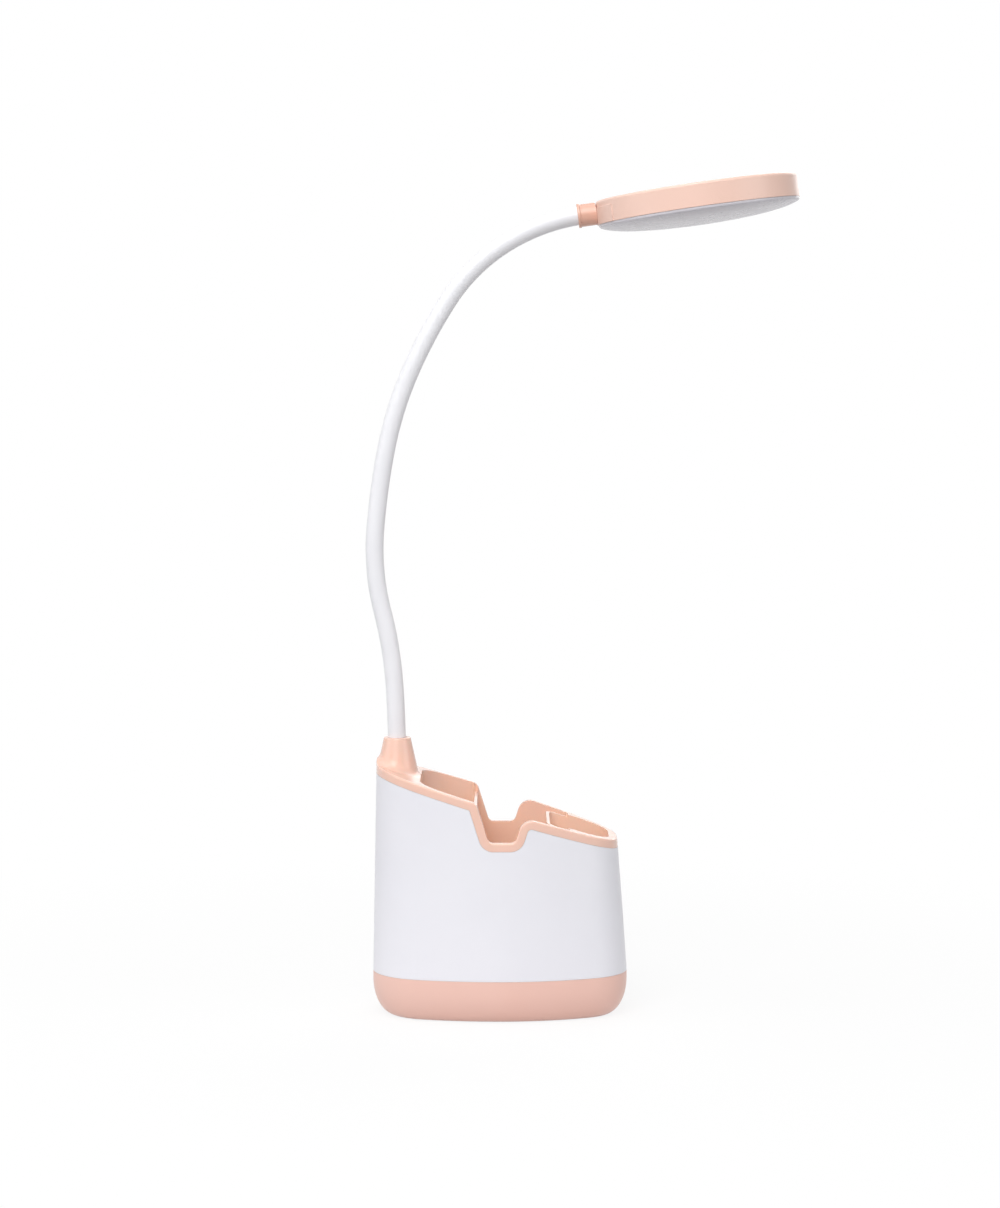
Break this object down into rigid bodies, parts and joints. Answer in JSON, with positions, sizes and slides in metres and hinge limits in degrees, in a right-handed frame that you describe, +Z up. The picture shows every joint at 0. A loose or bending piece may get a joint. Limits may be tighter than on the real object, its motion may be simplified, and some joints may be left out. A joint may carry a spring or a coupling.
{
  "type": "desk lamp with pen holder",
  "caption": "Flexible-neck LED desk lamp whose oval base is a pen holder with cups, a phone notch and a front push key.",
  "frame": {"origin": "middle of the base's footprint, on the desk", "axes": "+Z up; +X towards the lamp head, the user's side; the lamp is symmetric about Y = 0"},
  "size_m": [0.2074, 0.0968, 0.4033],
  "materials": {
    "shell_white": "satin ABS, slightly cool white",
    "holder_pink": "satin ABS, pale coral pink",
    "cap_pink": "satin ABS, pale coral pink",
    "collar_pink": "glossy ABS, pale coral pink",
    "head_pink": "satin ABS, pale coral pink",
    "pad_rubber": "soft foam rubber",
    "screw_steel": "zinc plated",
    "weight_steel": "plain steel plate",
    "cell_sleeve": "shrink sleeve over a metal can",
    "cradle_plastic": "matt moulding",
    "board_green": "solder resist",
    "socket_steel": "nickel plated",
    "lead_white": "soft sheath",
    "ferrule_steel": "nickel plated",
    "switch_black": "matt moulding",
    "key_white": "satin ABS",
    "sleeve_silicone": "smooth silicone, satin",
    "core_steel": "wound steel",
    "board_aluminium": "white solder resist on aluminium",
    "led_yellow": "yellow phosphor",
    "reflector_white": "white moulding",
    "lens_milky": "milky diffusing polystyrene"
  },
  "bodies": {
    "base": {"outer_shell": "shell_white", "holder_liner": "holder_pink", "base_cap": "cap_pink", "anti_slip_pad": "pad_rubber", "cap_screws": "screw_steel", "counterweight": "weight_steel", "battery_cell": "cell_sleeve", "battery_cradle": "cradle_plastic", "main_board": "board_green", "board_screws": "screw_steel", "charging_socket": "socket_steel", "base_lead": "lead_white", "neck_ferrule": "ferrule_steel", "neck_washer": "ferrule_steel", "neck_nut": "ferrule_steel", "tact_switch": "switch_black", "switch_board": "board_green", "neck_sleeve_1": "sleeve_silicone", "neck_core_1": "core_steel"},
    "power_key": {"power_key": "key_white", "switch_stem": "switch_black"},
    "neck_link_2": {"neck_sleeve_2": "sleeve_silicone", "neck_core_2": "core_steel"},
    "neck_link_3": {"neck_sleeve_3": "sleeve_silicone", "neck_core_3": "core_steel"},
    "neck_link_4": {"neck_sleeve_4": "sleeve_silicone", "neck_core_4": "core_steel"},
    "neck_link_5": {"neck_sleeve_5": "sleeve_silicone", "neck_core_5": "core_steel"},
    "neck_link_6": {"neck_sleeve_6": "sleeve_silicone", "neck_core_6": "core_steel"},
    "neck_link_7": {"neck_sleeve_7": "sleeve_silicone", "neck_core_7": "core_steel"},
    "lamp_head": {"neck_sleeve_8": "sleeve_silicone", "neck_core_8": "core_steel", "head_collar": "collar_pink", "head_cover": "head_pink", "led_board": "board_aluminium", "led_board_screws": "screw_steel", "leds": "led_yellow", "reflector": "reflector_white", "diffuser": "lens_milky"}
  },
  "joints": [
    {"name": "neck_bend_1", "type": "hinge", "parent": "base", "child": "neck_link_2", "pos_m": [-0.05072, 0, 0.15598], "axis": [0, 1, 0], "range_deg": [-18, 18]},
    {"name": "neck_sway_1", "type": "hinge", "parent": "neck_link_2", "child": "neck_link_3", "pos_m": [-0.05665, 0, 0.19447], "axis": [0.9694, 0, 0.2453], "range_deg": [-18, 18]},
    {"name": "neck_bend_2", "type": "hinge", "parent": "neck_link_3", "child": "neck_link_4", "pos_m": [-0.05993, 0, 0.23316], "axis": [0, 1, 0], "range_deg": [-18, 18]},
    {"name": "neck_sway_2", "type": "hinge", "parent": "neck_link_4", "child": "neck_link_5", "pos_m": [-0.05467, 0, 0.27178], "axis": [0.9816, 0, -0.1908], "range_deg": [-18, 18]},
    {"name": "neck_bend_3", "type": "hinge", "parent": "neck_link_5", "child": "neck_link_6", "pos_m": [-0.0431, 0, 0.30894], "axis": [0, 1, 0], "range_deg": [-18, 18]},
    {"name": "neck_sway_3", "type": "hinge", "parent": "neck_link_6", "child": "neck_link_7", "pos_m": [-0.02466, 0, 0.34326], "axis": [0.8396, 0, -0.5432], "range_deg": [-18, 18]},
    {"name": "neck_bend_4", "type": "hinge", "parent": "neck_link_7", "child": "lamp_head", "pos_m": [0.00298, 0, 0.37032], "axis": [0, 1, 0], "range_deg": [-18, 18]},
    {"name": "key_press", "type": "slide", "parent": "base", "child": "power_key", "axis": [-1, 0, 0], "range_m": [0, 0.0007], "stiffness_N_per_m": 900, "springref_m": -0.0004}
  ]
}
